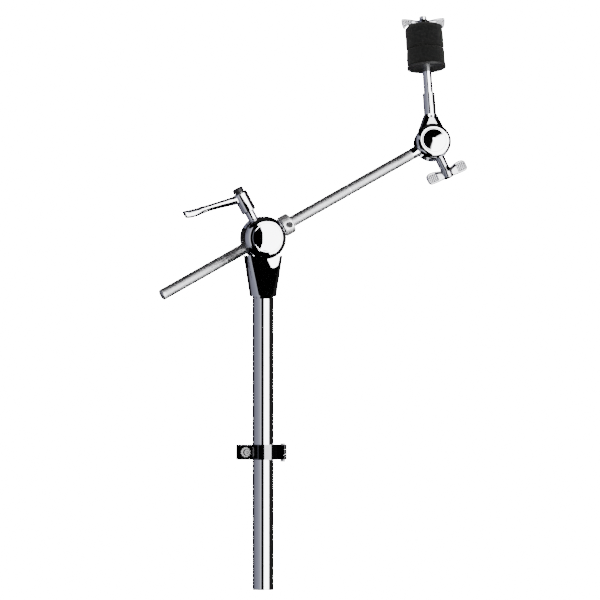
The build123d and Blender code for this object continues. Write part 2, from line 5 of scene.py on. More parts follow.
import bpy
import numpy as np
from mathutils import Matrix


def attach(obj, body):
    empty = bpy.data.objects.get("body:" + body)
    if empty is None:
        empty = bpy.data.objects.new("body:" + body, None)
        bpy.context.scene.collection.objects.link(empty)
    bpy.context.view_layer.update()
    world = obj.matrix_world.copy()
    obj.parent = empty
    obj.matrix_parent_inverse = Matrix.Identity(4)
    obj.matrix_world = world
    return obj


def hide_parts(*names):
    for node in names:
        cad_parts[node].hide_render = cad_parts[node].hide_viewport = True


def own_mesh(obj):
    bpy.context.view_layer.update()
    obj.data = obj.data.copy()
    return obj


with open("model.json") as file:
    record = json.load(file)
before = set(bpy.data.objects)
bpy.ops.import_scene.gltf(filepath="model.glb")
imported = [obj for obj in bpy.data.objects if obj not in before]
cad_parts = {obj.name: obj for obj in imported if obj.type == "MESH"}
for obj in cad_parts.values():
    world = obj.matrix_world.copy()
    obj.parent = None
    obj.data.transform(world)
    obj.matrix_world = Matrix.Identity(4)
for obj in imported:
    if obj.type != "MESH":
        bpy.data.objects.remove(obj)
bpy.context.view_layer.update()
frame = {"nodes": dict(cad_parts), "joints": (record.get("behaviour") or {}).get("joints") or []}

mm = 0.001
joints = {j["name"]: j for j in frame["joints"]}
lowPivot = np.array(joints["boom_tilt"]["pos_m"])
highPivot = np.array(joints["post_tilt"]["pos_m"])
alongRod = np.array(joints["boom_twist"]["axis"])      # unit vector up the boom rod
leverUp = np.array(joints["lever_turn"]["axis"])       # the clamp lever's screw axis
postUp = np.array(joints["wing_nut_turn"]["axis"])     # up the cymbal post
wingDown = np.array(joints["wing_screw_turn"]["axis"])  # out along the wing screw
faceBack = np.array(joints["post_tilt"]["axis"])       # away from the viewer, square to the upper joint


# camera
view = {"azimuth": -16.0, "distance": 8.0, "middleHeight": 0.3051, "middleRight": 0.0389,
        "frameWidth": 0.6312, "sensor": 36.0}

turn = math.radians(view["azimuth"])
toCamera = np.array([math.sin(turn), -math.cos(turn), 0.0])
toRight = np.array([math.cos(turn), math.sin(turn), 0.0])
aim = toRight * view["middleRight"] + np.array([0, 0, view["middleHeight"]])
cameraData = bpy.data.cameras.new("camera")
camera = bpy.data.objects.new("camera", cameraData)
bpy.context.scene.collection.objects.link(camera)
camera.location = aim + toCamera * view["distance"]
camera.rotation_euler = (math.pi / 2, 0, turn)
cameraData.sensor_width = view["sensor"]
cameraData.lens = view["sensor"] * view["distance"] / view["frameWidth"]
cameraData.clip_end = 60
bpy.context.scene.camera = camera
print("camera set")


# materials: tone, roughness and bump come from noise on Object coordinates

# A new node material, with its nodes, its links and its Principled shader.
def newMaterial(name):
    material = bpy.data.materials.new(name)
    material.use_nodes = True
    nodes = material.node_tree.nodes
    shader = nodes["Principled BSDF"]
    return material, nodes, material.node_tree.links, shader


# Noise on Object coordinates, stretched by a Mapping node; returns the factor socket.
def noiseOn(nodes, links, scale, detail=4.0, rough=0.6, stretch=(1, 1, 1)):
    place = nodes.new("ShaderNodeTexCoord")
    mapping = nodes.new("ShaderNodeMapping")
    mapping.inputs["Scale"].default_value = stretch
    noise = nodes.new("ShaderNodeTexNoise")
    noise.inputs["Scale"].default_value = scale
    noise.inputs["Detail"].default_value = detail
    noise.inputs["Roughness"].default_value = rough
    links.new(place.outputs["Object"], mapping.inputs["Vector"])
    links.new(mapping.outputs["Vector"], noise.inputs["Vector"])
    return noise.outputs["Fac"]


# A colour ramp of (place, colour) stops from a factor to a shader socket.
def rampFrom(nodes, links, factor, stops, socket):
    ramp = nodes.new("ShaderNodeValToRGB")
    elements = ramp.color_ramp.elements
    while len(elements) < len(stops):
        elements.new(0.5)
    for element, (place, colour) in zip(elements, stops):
        element.position = place
        element.color = tuple(colour) + (1.0,)
    links.new(factor, ramp.inputs["Fac"])
    links.new(ramp.outputs["Color"], socket)


# Maps a noise factor, which lies mostly between 0.3 and 0.7, to a range of values.
def spread(nodes, links, factor, low, high, socket):
    mapRange = nodes.new("ShaderNodeMapRange")
    mapRange.inputs["From Min"].default_value = 0.3
    mapRange.inputs["From Max"].default_value = 0.7
    mapRange.inputs["To Min"].default_value = low
    mapRange.inputs["To Max"].default_value = high
    links.new(factor, mapRange.inputs["Value"])
    links.new(mapRange.outputs["Result"], socket)


# A bump from a factor to the shader's normal; distance is in metres.
def bumpFrom(nodes, links, factor, shader, strength, distance):
    bump = nodes.new("ShaderNodeBump")
    bump.inputs["Strength"].default_value = strength
    bump.inputs["Distance"].default_value = distance
    links.new(factor, bump.inputs["Height"])
    links.new(bump.outputs["Normal"], shader.inputs["Normal"])


# Plated or bare metal: tone and roughness drift with two noises, and a faint ripple bends the gloss.
def metal(name, darkTone, lightTone, smooth, rough, grain, bumpDepth):
    material, nodes, links, shader = newMaterial(name)
    shader.inputs["Metallic"].default_value = 1.0
    broad = noiseOn(nodes, links, 35.0, 3.0)
    fine = noiseOn(nodes, links, grain, 5.0, 0.65)
    rampFrom(nodes, links, broad, [(0.3, darkTone), (0.7, lightTone)], shader.inputs["Base Color"])
    spread(nodes, links, fine, smooth, rough, shader.inputs["Roughness"])
    bumpFrom(nodes, links, fine, shader, 0.25, bumpDepth)
    return material


# Moulded plastic, fibre or blackened steel: speckled tone, varied roughness and a fine skin bump.
def matt(name, darkTone, lightTone, smooth, rough, grain, bumpDepth):
    material, nodes, links, shader = newMaterial(name)
    fine = noiseOn(nodes, links, grain, 6.0, 0.7)
    shader.inputs["Specular IOR Level"].default_value = 0.22
    rampFrom(nodes, links, fine, [(0.35, darkTone), (0.65, lightTone)], shader.inputs["Base Color"])
    spread(nodes, links, fine, rough, smooth, shader.inputs["Roughness"])
    bumpFrom(nodes, links, fine, shader, 0.35, bumpDepth)
    return material


chrome = metal("chromePlate", (0.86, 0.87, 0.90), (0.91, 0.91, 0.93), 0.015, 0.05, 900, 0.00001)
castChrome = metal("castChrome", (0.84, 0.84, 0.86), (0.90, 0.90, 0.91), 0.05, 0.13, 1400, 0.00004)
wingChrome = metal("wingChrome", (0.42, 0.42, 0.44), (0.50, 0.50, 0.52), 0.04, 0.11, 1400, 0.00003)
knurlChrome = metal("knurlChrome", (0.56, 0.56, 0.58), (0.66, 0.66, 0.68), 0.40, 0.52, 1800, 0.00003)
satinChrome = metal("satinChrome", (0.90, 0.90, 0.91), (0.95, 0.95, 0.95), 0.42, 0.55, 1300, 0.00003)
# The lock's chrome, with its tone dimmed to about a fifth of plain chrome: a painted dark reflection.
chromeDimmedAsDarkReflection = metal("chromeDimmedAsDarkReflection", (0.15, 0.15, 0.16), (0.21, 0.21, 0.22), 0.04, 0.11, 1200, 0.00002)
turnedSteel = metal("turnedSteel", (0.42, 0.42, 0.44), (0.60, 0.60, 0.61), 0.22, 0.38, 1500, 0.00003)
zincPlate = metal("zincPlate", (0.62, 0.62, 0.64), (0.76, 0.76, 0.77), 0.14, 0.28, 1500, 0.00003)
springWire = metal("springWire", (0.30, 0.30, 0.31), (0.46, 0.46, 0.47), 0.18, 0.32, 1800, 0.00002)
palePlate = matt("palePlate", (0.62, 0.62, 0.63), (0.80, 0.80, 0.80), 0.35, 0.50, 1500, 0.00003)
brass = metal("turnedBrass", (0.52, 0.36, 0.15), (0.72, 0.54, 0.26), 0.18, 0.34, 1400, 0.00002)
blackOxide = matt("blackOxide", (0.006, 0.006, 0.007), (0.018, 0.018, 0.020), 0.34, 0.50, 1600, 0.00003)
blackNylon = matt("blackNylon", (0.016, 0.016, 0.017), (0.030, 0.030, 0.031), 0.46, 0.62, 1100, 0.00004)
paleNylon = matt("paleNylon", (0.62, 0.60, 0.55), (0.74, 0.72, 0.66), 0.38, 0.55, 900, 0.00003)
clutchFibre = matt("clutchFibre", (0.16, 0.08, 0.04), (0.30, 0.17, 0.09), 0.70, 0.92, 1300, 0.00008)


# Painted shade in the knurl grooves: tone = plate tone where the crest attribute is 1, a third of it at 0.
def paintShadeInKnurlGrooves(material):
    nodes, links = material.node_tree.nodes, material.node_tree.links
    shader = nodes["Principled BSDF"]
    plate = shader.inputs["Base Color"].links[0].from_socket
    crest = nodes.new("ShaderNodeAttribute")
    crest.attribute_name = "crest"
    tone = nodes.new("ShaderNodeMapRange")
    tone.inputs["From Min"].default_value = 0.0
    tone.inputs["From Max"].default_value = 0.75
    tone.inputs["To Min"].default_value = 0.35
    tone.inputs["To Max"].default_value = 1.0
    links.new(crest.outputs["Fac"], tone.inputs["Value"])
    mix = nodes.new("ShaderNodeMix")
    mix.data_type = "RGBA"
    mix.blend_type = "MULTIPLY"
    mix.inputs["Factor"].default_value = 1.0
    links.new(plate, mix.inputs["A"])
    links.new(tone.outputs["Result"], mix.inputs["B"])
    links.new(mix.outputs["Result"], shader.inputs["Base Color"])


# painted shade in the boom rod's knurl grooves
paintShadeInKnurlGrooves(knurlChrome)


# Pressed wool: near-black fibres that stand and lie in clumps, with a dusty sheen at the edge.
def feltMaterial():
    material, nodes, links, shader = newMaterial("blackFelt")
    clumps = noiseOn(nodes, links, 420, 7.0, 0.75)
    layers = noiseOn(nodes, links, 260, 5.0, 0.7, (0.5, 0.5, 3.2))
    blend = nodes.new("ShaderNodeMath")
    blend.operation = "MULTIPLY_ADD"
    blend.inputs[1].default_value = 0.45
    links.new(layers, blend.inputs[0])
    scaled = nodes.new("ShaderNodeMath")
    scaled.operation = "MULTIPLY"
    scaled.inputs[1].default_value = 0.55
    links.new(clumps, scaled.inputs[0])
    links.new(scaled.outputs[0], blend.inputs[2])
    tones = [(0.34, (0.0025, 0.0025, 0.0026)), (0.52, (0.008, 0.008, 0.0078)), (0.68, (0.022, 0.021, 0.020))]
    rampFrom(nodes, links, blend.outputs[0], tones, shader.inputs["Base Color"])
    shader.inputs["Roughness"].default_value = 0.95
    shader.inputs["Sheen Weight"].default_value = 0.06
    shader.inputs["Sheen Roughness"].default_value = 0.6
    shader.inputs["Specular IOR Level"].default_value = 0.12
    bumpFrom(nodes, links, blend.outputs[0], shader, 0.9, 0.0006)
    return material


blackFelt = feltMaterial()

finishes = {
    chrome: ["lower_tube", "tilter_casting", "clamp_stud", "upper_casting", "cymbal_post"],
    satinChrome: ["stop_collar"],
    chromeDimmedAsDarkReflection: ["lock_rear", "lock_front", "lock_hinge_pin"],
    turnedSteel: ["pivot_drum", "upper_drum"],
    zincPlate: ["tube_pin", "drum_pin"],
    brass: ["pressure_shoe", "clamp_plug"],
    blackOxide: ["lever_cap_screw", "post_grub_screw", "collar_screw"],
    blackNylon: ["seat_cup"],
    paleNylon: ["rod_bush"],
    clutchFibre: ["front_clutch_disc", "rear_clutch_disc", "upper_front_disc", "upper_rear_disc"],
}
for material, names in finishes.items():
    for name in names:
        node = frame["nodes"][name]
        node.data.materials.clear()
        node.data.materials.append(material)
print("materials made")


# surface helpers

# Quads over a rows by columns grid; wrap joins the last column to the first.
def gridFaces(rows, columns, wrap):
    last = columns if wrap else columns - 1
    r, c = np.meshgrid(np.arange(rows - 1), np.arange(last), indexing="ij")
    nextC = (c + 1) % columns
    row, below = r * columns, (r + 1) * columns
    return np.stack([row + c, row + nextC, below + nextC, below + c], -1).reshape(-1, 4)


# Local millimetre points to the shared frame: x along xDir, z along zDir, y square to both.
def intoPlace(points, origin, xDir, zDir):
    xDir = xDir / np.linalg.norm(xDir)
    zDir = zDir / np.linalg.norm(zDir)
    yDir = np.cross(zDir, xDir)
    return origin + mm * (points[..., 0:1] * xDir + points[..., 1:2] * yDir + points[..., 2:3] * zDir)


# Makes a mesh object from points and faces, shades it smooth, and rides it on its body.
def meshPiece(name, points, faces, material, body, node, smoothAngle=None):
    mesh = bpy.data.meshes.new(name)
    mesh.from_pydata(points.reshape(-1, 3).tolist(), [], [list(f) for f in faces])
    mesh.validate()
    mesh.shade_smooth()
    piece = bpy.data.objects.new(name, mesh)
    bpy.context.scene.collection.objects.link(piece)
    mesh.materials.append(material)
    if smoothAngle is not None:
        mesh.set_sharp_from_angle(angle=math.radians(smoothAngle))
    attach(piece, body)
    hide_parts(node)
    return piece


# All points and faces of a stack of ring sections (rows by columns by 3), with a fan at each end round an
# added middle point.
def closedTube(sections):
    rows, columns = sections.shape[:2]
    faces = gridFaces(rows, columns, True).tolist()
    middles = np.stack([sections[0].mean(0), sections[-1].mean(0)])
    points = np.concatenate([sections.reshape(-1, 3), middles])
    first, last = rows * columns, rows * columns + 1
    for c in range(columns):
        n = (c + 1) % columns
        faces.append([first, n, c])
        faces.append([last, (rows - 1) * columns + c, (rows - 1) * columns + n])
    return points, faces


# Faces of a ring whose outline closes on itself: each row joins the next, and the last joins the first.
def ringFaces(rows, columns):
    faces = gridFaces(rows, columns, True).tolist()
    last = (rows - 1) * columns
    return faces + [[last + k, last + (k + 1) % columns, (k + 1) % columns, k] for k in range(columns)]


# A surface of revolution: profile of (radius, height) carried round the z axis.
def turned(profile, columns):
    angle = np.linspace(0, 2 * np.pi, columns, endpoint=False)
    radius, height = np.asarray(profile, float).T
    x = radius[:, None] * np.cos(angle)
    y = radius[:, None] * np.sin(angle)
    z = np.repeat(height[:, None], columns, 1)
    return np.stack([x, y, z], -1)


# Points of an arc in the (radius, height) plane, angles in degrees.
def arcRun(centre, radius, start, end, count):
    angle = np.radians(np.linspace(start, end, count))
    return [(centre[0] + radius * math.cos(a), centre[1] + radius * math.sin(a)) for a in angle]


# A rounded-rectangle outline: |x/w|^p + |y/h|^p = 1, walked once round.
def superSection(width, height, power, columns):
    angle = np.linspace(0, 2 * np.pi, columns, endpoint=False)
    c, s = np.cos(angle), np.sin(angle)
    x = 0.5 * width * np.sign(c) * np.abs(c) ** (2 / power)
    y = 0.5 * height * np.sign(s) * np.abs(s) ** (2 / power)
    return x, y


# A bar along x: each station is (x, centre z, width in y, height in z, power of the section).
def carried(stations, columns):
    rings = []
    for x, z, width, height, power in stations:
        y, dz = superSection(width, height, power, columns)
        rings.append(np.stack([np.full(columns, float(x)), y, z + dz], -1))
    return closedTube(np.array(rings))


# Stations spaced evenly between the key stations, eased so that the outline has no corners.
def smoothRun(keys, count):
    keys = np.asarray(keys, float)
    t = np.linspace(0, len(keys) - 1, count)
    i = np.clip(t.astype(int), 0, len(keys) - 2)
    f = t - i
    before, after = keys[np.clip(i - 1, 0, None)], keys[np.clip(i + 2, None, len(keys) - 1)]
    a, b = keys[i], keys[i + 1]
    f = f[:, None]
    return 0.5 * (2 * a + (b - before) * f + (2 * before - 5 * a + 4 * b - after) * f**2
                  + (3 * a - 3 * b + after - before) * f**3)


# Joins overlapping closed shells into one skin, as metal poured in one mould, and softens its corners.
def castTogether(name, shells, voxel, rounds, material, body, node):
    points = np.concatenate([s[0] for s in shells])
    faces, start = [], 0
    for shellPoints, shellFaces in shells:
        faces += [[start + v for v in face] for face in shellFaces]
        start += len(shellPoints)
    piece = meshPiece(name, points, faces, material, body, node)
    bpy.context.view_layer.objects.active = piece
    merge = piece.modifiers.new("merge", "REMESH")
    merge.mode = "VOXEL"
    merge.voxel_size = voxel
    merge.use_smooth_shade = True
    ease = piece.modifiers.new("ease", "SMOOTH")
    ease.factor = 0.5
    ease.iterations = rounds
    for modifier in ("merge", "ease"):
        with bpy.context.temp_override(object=piece, active_object=piece):
            bpy.ops.object.modifier_apply(modifier=modifier)
    return piece


# A mesh's points and normals as arrays.
def meshArrays(piece):
    count = len(piece.data.vertices)
    points, normals = np.empty(count * 3), np.empty(count * 3)
    piece.data.vertices.foreach_get("co", points)
    piece.data.vertices.foreach_get("normal", normals)
    return points.reshape(-1, 3), normals.reshape(-1, 3)


# Moves each point along its normal by its own amount, in metres.
def pushOut(piece, amount):
    points, normals = meshArrays(piece)
    piece.data.vertices.foreach_set("co", (points + normals * amount[:, None]).ravel())
    piece.data.update()


# 1 at whole numbers, 0 half way between.
def saw(x):
    return np.abs(2 * (x - np.floor(x)) - 1)


# Shared-frame points in a piece's own millimetre directions.
def localOf(points, origin, xDir, zDir):
    yDir = np.cross(zDir, xDir)
    away = (points - origin) / mm
    return away @ xDir, away @ yDir, away @ zDir


# boom rod: diamond knurl cut by two crossing spirals; millimetres, measured up the rod from the lower pivot
rod = {"radius": 6.0, "low": -126.5, "high": 200.0, "tip": 2.2, "knurlFrom": -122.0, "knurlTo": 186.0,
       "starts": 24, "pitch": 1.6, "depth": 0.34, "step": 0.4, "grooves": (-49.5, 28.5, 106.5, 184.5),
       "grooveWidth": 2.0, "grooveDepth": 0.35, "grooveEdge": 0.2, "runIn": 0.6, "runOut": 1.0, "columns": 96}


# Radius = plain radius - depth * (1 - the lower of two saw waves), one wave for each spiral hand.
def boomRod():
    tip = [(rod["radius"] - rod["tip"] + r, rod["low"] + rod["tip"] + h)
           for r, h in arcRun((0, 0), rod["tip"], -90, -4, 8)]
    run = np.arange(rod["knurlFrom"], rod["knurlTo"] + rod["step"], rod["step"])
    tail = np.array([rod["knurlTo"] + rod["runOut"], rod["high"]])
    height = np.concatenate([[h for _, h in tip], [rod["knurlFrom"] - rod["runIn"]], run, tail])
    radius = np.full(len(height), rod["radius"])
    radius[:len(tip)] = [r for r, _ in tip]
    cut = (height >= rod["knurlFrom"]) & (height <= rod["knurlTo"])
    edge = rod["grooveEdge"]
    for place in rod["grooves"]:
        inside = (height > place - edge) & (height < place + rod["grooveWidth"] + edge)
        radius[inside] = rod["radius"] - rod["grooveDepth"]
        cut &= ~inside
    angle = np.linspace(0, 2 * np.pi, rod["columns"], endpoint=False)
    across = angle * rod["starts"] / (2 * np.pi)
    along = height[:, None] / rod["pitch"]
    crest = np.minimum(saw(across + along), saw(across - along))
    ring = radius[:, None] - rod["depth"] * (1 - crest) * cut[:, None]
    heights = np.repeat(height[:, None], len(angle), 1)
    allPoints, faces = closedTube(np.stack([ring * np.cos(angle), ring * np.sin(angle), heights], -1))
    placed = intoPlace(allPoints, lowPivot, np.array([0, 1.0, 0]), alongRod)
    piece = meshPiece("boomRod", placed, faces, knurlChrome, "boom", "boom_rod", 50)
    piece.data.materials.append(chrome)
    middle = np.empty(3 * len(piece.data.polygons))
    piece.data.polygons.foreach_get("center", middle)
    up = localOf(middle.reshape(-1, 3), lowPivot, np.array([0, 1.0, 0]), alongRod)[2]
    piece.data.polygons.foreach_set("material_index", (up > rod["knurlTo"]).astype(np.int32))
    # the crest attribute, 0 in the knurl's grooves, sets where knurlChrome paints shade into them
    high = np.concatenate([np.where(cut[:, None], crest, 1.0).ravel(), [1.0, 1.0]])
    piece.data.attributes.new("crest", "FLOAT", "POINT").data.foreach_set("value", high)


boomRod()
print("boom rod made")


# felts: pressed wool washers with worn rims; heights are up the post from the upper pivot. Each wave is (how
# many round the rim, size)
felt = {"radius": 19.9, "hole": 6.0, "corner": 1.6, "shoulder": 5.5, "columns": 220, "seatTop": 83.6,
        "split": 102.1, "top": 128.5, "gap": 0.3, "fuzz": 0.03, "crown": 0.12, "spread": 0.25,
        "waves": ((2, 0.10), (3, 0.10), (5, 0.07), (9, 0.05), (17, 0.035), (31, 0.03), (57, 0.025))}


# A ring turned from a rounded outline; its rim wanders by a sum of waves with random phases.
def feltWasher(name, low, high, shoulder, seed, node, body, flare):
    rng = np.random.default_rng(seed)
    c, t, outer, hole = felt["corner"], shoulder, felt["radius"], felt["hole"]
    wall = np.linspace(low + c, high - t, 16)
    outline = [(hole, h) for h in np.linspace(high - 0.5, low + 0.5, 5)]
    outline += [(r, low) for r in np.linspace(hole + 0.5, outer - c, 9)]
    outline += arcRun((outer - c, low + c), c, -75, -8, 6)
    outline += [(outer, h) for h in wall]
    outline += arcRun((outer - t, high - t), t, 6, 84, 12)
    outline += [(r, high) for r in np.linspace(outer - t, hole + 0.5, 9)]
    points = turned(outline, felt["columns"])
    angle = np.linspace(0, 2 * np.pi, felt["columns"], endpoint=False)
    height = np.array([h for _, h in outline])[:, None]
    wander = np.zeros(points.shape[:2])
    for waves, size in felt["waves"]:
        phase, climb = rng.uniform(0, 2 * np.pi), rng.uniform(-0.5, 0.5)
        wander += size * np.sin(waves * angle + phase + climb * height)
    rough = rng.normal(0, felt["fuzz"], points.shape[:2])
    radius = np.array([r for r, _ in outline])[:, None]
    onRim = np.clip((radius - hole - 2) / (outer - hole - 2), 0, 1) ** 2
    share = (height - low) / (high - low)
    bulge = felt["crown"] * np.sin(np.pi * share) + flare * (1 - share)
    stretch = 1 + onRim * (wander + rough + bulge) / np.maximum(radius, 1)
    points[..., 0] *= stretch
    points[..., 1] *= stretch
    faces = ringFaces(len(outline), felt["columns"])
    placed = intoPlace(points, highPivot, -np.cross(postUp, faceBack), postUp)
    piece = meshPiece(name, placed, faces, blackFelt, body, node)


feltWasher("lowerFelt", felt["seatTop"], felt["split"] - felt["gap"], felt["corner"], 4, "lower_felt", "post",
           felt["spread"])
feltWasher("upperFelt", felt["split"], felt["top"], felt["shoulder"], 9, "upper_felt", "top_felt", 0.0)
print("felts made")


# clamp lever: a hub with a pocket, and an arm that ends in a ridged paddle; heights are along leverUp from
# the lower pivot. arm is (x, height above the sloping line, width, height, power of the section)
lever = {"hubLow": 31.7, "hubHigh": 53.8, "hubRadius": 7.9, "bore": 4.62, "pocket": 6.3, "pocketFloor": 46.0,
         "rootHeight": 48.6, "slope": 13.0, "rootReach": 6.0, "ridges": 5, "ridgeGap": 2.9, "ridgeFrom": 45.5,
         "ridgeDepth": 0.8, "chamfer": 0.9, "columns": 96, "armColumns": 64, "armStations": 60,
         "voxel": 0.00034, "softening": 6,
         "arm": [(6.7, 0.0, 10.5, 9.6, 2.7), (14, 0.1, 9.0, 8.8, 2.5), (26, 0.2, 8.2, 7.8, 2.4),
                 (38, 0.2, 8.6, 7.4, 2.4), (44, 0.0, 9.8, 7.9, 2.6), (52, -0.4, 10.8, 9.0, 2.8),
                 (59, -0.2, 10.8, 9.2, 2.9), (63.4, 0.2, 10.2, 8.2, 3.2)]}


# A turned hub and an arm carried out along x with a rounded-rectangle section, cast together.
def clampLever():
    d = lever
    chamfer = d["chamfer"]
    hub = [(d["bore"], d["hubLow"]), (d["hubRadius"] - chamfer, d["hubLow"]),
           (d["hubRadius"], d["hubLow"] + chamfer), (d["hubRadius"], d["hubHigh"] - chamfer),
           (d["hubRadius"] - 0.5, d["hubHigh"]), (d["pocket"], d["hubHigh"]),
           (d["pocket"], d["pocketFloor"]), (d["bore"], d["pocketFloor"])]
    hubPoints = turned(hub, d["columns"])
    hubFaces = ringFaces(len(hub), d["columns"])
    rise = math.tan(math.radians(d["slope"]))
    stations = smoothRun(d["arm"], d["armStations"])
    stations[:, 1] += d["rootHeight"] + (stations[:, 0] - d["rootReach"]) * rise
    armPoints, armFaces = carried(stations, d["armColumns"])
    shells = [(hubPoints.reshape(-1, 3), hubFaces), (armPoints, armFaces)]
    shells = [(intoPlace(p, lowPivot, -alongRod, leverUp), f) for p, f in shells]
    piece = castTogether("leverHandle", shells, d["voxel"], d["softening"], castChrome, "lever",
                         "lever_handle")
    x, _, z = localOf(meshArrays(piece)[0], lowPivot, -alongRod, leverUp)
    across = (x - d["ridgeFrom"]) / d["ridgeGap"]
    onPaddle = (across > 0) & (across < d["ridges"])
    above = z - d["rootHeight"] - (x - d["rootReach"]) * rise
    onTop = np.clip((above - 1.0) / 0.9, 0, 1)
    pushOut(piece, -mm * d["ridgeDepth"] * saw(across) ** 0.7 * onPaddle * onTop)


clampLever()
print("lever made")


# lever spring: a coil round the clamp stud's end, in the lever's pocket; lift is how far the lever rises
spring = {"low": 46.15, "high": 54.65, "mean": 4.7, "wire": 0.55, "turns": 4.5, "endTurns": 0.75,
          "flatRate": 0.35, "stations": 150, "columns": 12, "lift": 4.0}


# A wire carried along a helix that rises more slowly over its first and last turns.
def leverSpring():
    d = spring
    t = np.linspace(0, 1, d["stations"])
    rate = np.clip(np.minimum(t, 1 - t) * d["turns"] / d["endTurns"], d["flatRate"], 1)
    rise = np.concatenate([[0], np.cumsum(0.5 * (rate[1:] + rate[:-1]))])
    wound = 2 * np.pi * d["turns"] * t
    height = d["low"] + d["wire"] + (d["high"] - d["low"] - 2 * d["wire"]) * rise / rise[-1]
    angle = np.linspace(0, 2 * np.pi, d["columns"], endpoint=False)
    out = d["mean"] + d["wire"] * np.cos(angle)
    points = np.stack([out * np.cos(wound)[:, None], out * np.sin(wound)[:, None],
                       height[:, None] + d["wire"] * np.sin(angle)], -1)
    allPoints, faces = closedTube(points)
    placed = intoPlace(allPoints, lowPivot, -alongRod, leverUp)
    piece = meshPiece("leverSpring", placed, faces, springWire, "stud", "lever_spring", 60)
    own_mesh(piece)


leverSpring()
print("lever spring made")


# caps: a plug and a shallow cone with a soft crown and a fine step near its rim; heights run outwards from
# the pivot, slopes are in degrees
lowCap = {"plug": 14.2, "inner": 10.05, "face": 16.0, "rim": 15.85, "crown": 7.5, "crownSlope": 11.5,
          "rimSlope": 14.0, "step": 14.6, "tall": 2.95}
highCap = {"plug": 12.0, "inner": 8.95, "face": 12.2, "rim": 13.15, "crown": 2.6, "crownSlope": 6.6,
           "rimSlope": 11.2, "step": 12.0, "tall": 1.95}

capStep = 0.4       # width of the fine step
capColumns = 120


# The slope grows evenly from nothing at the centre to crownSlope, then slowly to rimSlope at the rim.
def pivotCap(name, d, origin, xDir, outward, body, node):
    radius = np.linspace(0.01, d["rim"] - 0.3, 60)
    beyond = (radius - d["crown"]) / (d["rim"] - d["crown"])
    outer = d["crownSlope"] + (d["rimSlope"] - d["crownSlope"]) * beyond
    slope = np.where(radius < d["crown"], d["crownSlope"] * radius / d["crown"], outer)
    flat = np.abs(radius - d["step"]) < 0.5 * capStep
    fall = np.tan(np.radians(slope)) * ~flat
    drop = np.concatenate([[0], np.cumsum(0.5 * (fall[1:] + fall[:-1]) * np.diff(radius))])
    height = d["face"] + d["tall"] - drop
    profile = [(0.01, d["inner"]), (d["plug"], d["inner"]), (d["plug"], d["face"]), (d["rim"], d["face"]),
               (d["rim"], max(height[-1] - 0.25, d["face"] + 0.02))]
    profile += list(zip(radius[::-1], height[::-1]))
    points, faces = closedTube(turned(profile, capColumns))
    meshPiece(name, intoPlace(points, origin, xDir, outward), faces, chrome, body, node, 25)


toFront, lowSide = np.array([0, -1.0, 0]), np.array([1.0, 0, 0])
pivotCap("frontCap", lowCap, lowPivot, lowSide, toFront, "root", "front_cap")
pivotCap("rearCap", lowCap, lowPivot, lowSide, -toFront, "root", "rear_cap")
topSide = np.cross(postUp, faceBack)
pivotCap("upperFrontCap", highCap, highPivot, topSide, -faceBack, "post", "upper_front_cap")
pivotCap("upperRearCap", highCap, highPivot, topSide, faceBack, "post", "upper_rear_cap")
print("caps made")


# wing screw and wing nut: heights run out along the screw and up the post from the upper pivot
wingScrew = {"low": 14.8, "high": 42.0, "radius": 5.3, "stem": 3.95, "stemLow": 7.6, "span": 46.0,
             "hatchFrom": 11.5, "hatchPitch": 2.9, "hatchDepth": 1.0}
wingNut = {"low": 128.75, "high": 134.3, "radius": 6.25, "span": 46.8, "top": 136.3, "tail": 124.7,
           "bore": 4.3, "hatchFrom": 13.0, "hatchPitch": 2.7, "hatchDepth": 0.9}
wingCast = {"columns": 80, "round": 1.2, "voxel": 0.00032, "softening": 4, "hatchFade": 0.6, "flatFrom": 0.93,
            "flatFade": 0.04}


# One wing carried outwards along x; keys are (x, middle z, thickness, height, power).
def wingShell(side, keys, count=40, columns=48):
    stations = smoothRun(keys, count)
    points, faces = carried(stations, columns)
    points[:, 0] *= side
    if side < 0:
        faces = [face[::-1] for face in faces]
    return points, faces


# Two crossing sets of grooves in the flat sides of each wing, out past hatchFrom: depth = hatchDepth * (1 -
# the lower of two saw waves), faded out within hatchFade of the edges and where the side turns away.
def crossHatch(piece, origin, xDir, zDir, d, lowZ, highZ):
    points, normals = meshArrays(piece)
    x, _, z = localOf(points, origin, xDir, zDir)
    flat = np.abs(normals @ np.cross(zDir, xDir)) - wingCast["flatFrom"]
    inside = np.clip(flat / wingCast["flatFade"], 0, 1)
    for room in (np.abs(x) - d["hatchFrom"], z - lowZ, highZ - z):
        inside = inside * np.clip(room / wingCast["hatchFade"], 0, 1)
    cut = 1 - np.minimum(saw((x + z) / d["hatchPitch"]), saw((x - z) / d["hatchPitch"]))
    pushOut(piece, -mm * d["hatchDepth"] * cut * inside)


# A turned hub, slightly fuller where the wings spring, with a wing on each side.
def wingScrewPiece():
    d = wingScrew
    top, bend = d["high"], wingCast["round"]
    profile = [(0.01, d["stemLow"]), (d["stem"], d["stemLow"] + 0.01), (d["stem"], d["low"] + 0.2),
               (d["radius"], d["low"] + 0.2), (d["radius"], top - 12), (d["radius"] + 0.5, top - 6),
               (d["radius"], top - bend)]
    profile += arcRun((d["radius"] - bend, top - bend), bend, 0, 90, 6) + [(0.01, top)]
    hub = closedTube(turned(profile, wingCast["columns"]))
    half = 0.5 * d["span"]
    keys = [(2.5, top - 5.0, 6.0, 9.0, 2.4), (7.0, top - 5.6, 5.4, 10.6, 2.4),
            (12.0, top - 6.3, 5.0, 12.4, 2.6), (17.5, top - 6.6, 5.0, 12.9, 2.7),
            (half - 2.2, top - 6.4, 4.8, 11.6, 2.6), (half - 0.1, top - 6.4, 3.0, 8.0, 2.3)]
    shells = [hub, wingShell(1, keys), wingShell(-1, keys)]
    wingSide = np.cross(wingDown, faceBack)
    if wingSide @ alongRod < 0:
        wingSide = -wingSide
    shells = [(intoPlace(p, highPivot, wingSide, wingDown), f) for p, f in shells]
    piece = castTogether("wingScrewPiece", shells, wingCast["voxel"], wingCast["softening"], wingChrome,
                         "wing_screw", "wing_screw")
    crossHatch(piece, highPivot, wingSide, wingDown, d, top - 12.4, top - 1.0)


